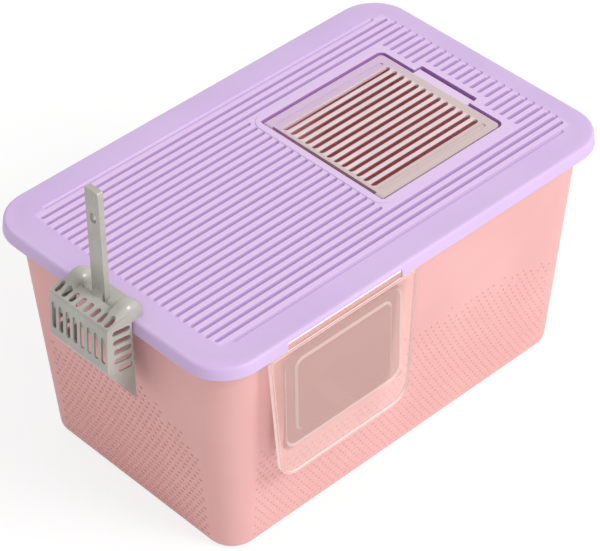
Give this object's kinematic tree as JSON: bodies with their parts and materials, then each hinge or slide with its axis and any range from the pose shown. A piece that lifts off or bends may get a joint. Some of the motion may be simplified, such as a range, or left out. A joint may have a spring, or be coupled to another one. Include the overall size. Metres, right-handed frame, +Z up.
{
  "type": "top entry litter box",
  "caption": "Drafted tub under a ribbed lift-off lid with a hinged slatted hatch on top, a hanging clear flap in front of a doorway, and a slotted scoop hooked over the lid's edge.",
  "frame": {"origin": "centre of the base on the surface that the box stands on", "axes": "+X along the long side towards the hatch's end, +Y to the back away from the flap, +Z up"},
  "size_m": [0.6403, 0.383, 0.4596],
  "materials": {
    "tub_plastic": "pink moulded polypropylene with a fine matt grain and rows of small dimples low on the walls",
    "lid_plastic": "lilac moulded polypropylene with a satin gloss",
    "hatch_plastic": "milky, slightly clear moulded plastic, polished",
    "flap_plastic": "clear milky moulded plastic, polished",
    "scoop_plastic": "grey moulded polypropylene, satin",
    "pin_steel": "drawn steel wire, bright"
  },
  "bodies": {
    "tub": {"tub": "tub_plastic"},
    "lid": {"lid": "lid_plastic", "hatch_pin_front": "pin_steel", "hatch_pin_rear": "pin_steel", "flap_pin_left": "pin_steel", "flap_pin_right": "pin_steel"},
    "hatch": {"hatch_door": "hatch_plastic"},
    "flap": {"front_flap": "flap_plastic"},
    "scoop": {"scoop": "scoop_plastic"}
  },
  "joints": [
    {"name": "lid_lift", "type": "slide", "parent": "tub", "child": "lid", "axis": [0, 0, 1], "range_m": [0, 0.12]},
    {"name": "hatch_hinge", "type": "hinge", "parent": "lid", "child": "hatch", "pos_m": [0.031, 0, 0.3034], "axis": [0, -1, 0], "range_deg": [0, 110]},
    {"name": "flap_hinge", "type": "hinge", "parent": "lid", "child": "flap", "pos_m": [-0.121, -0.1876, 0.2974], "axis": [-1, 0, 0], "range_deg": [0, 110]},
    {"name": "scoop_lift", "type": "slide", "parent": "lid", "child": "scoop", "axis": [0, 0, 1], "range_m": [0, 0.15]}
  ]
}
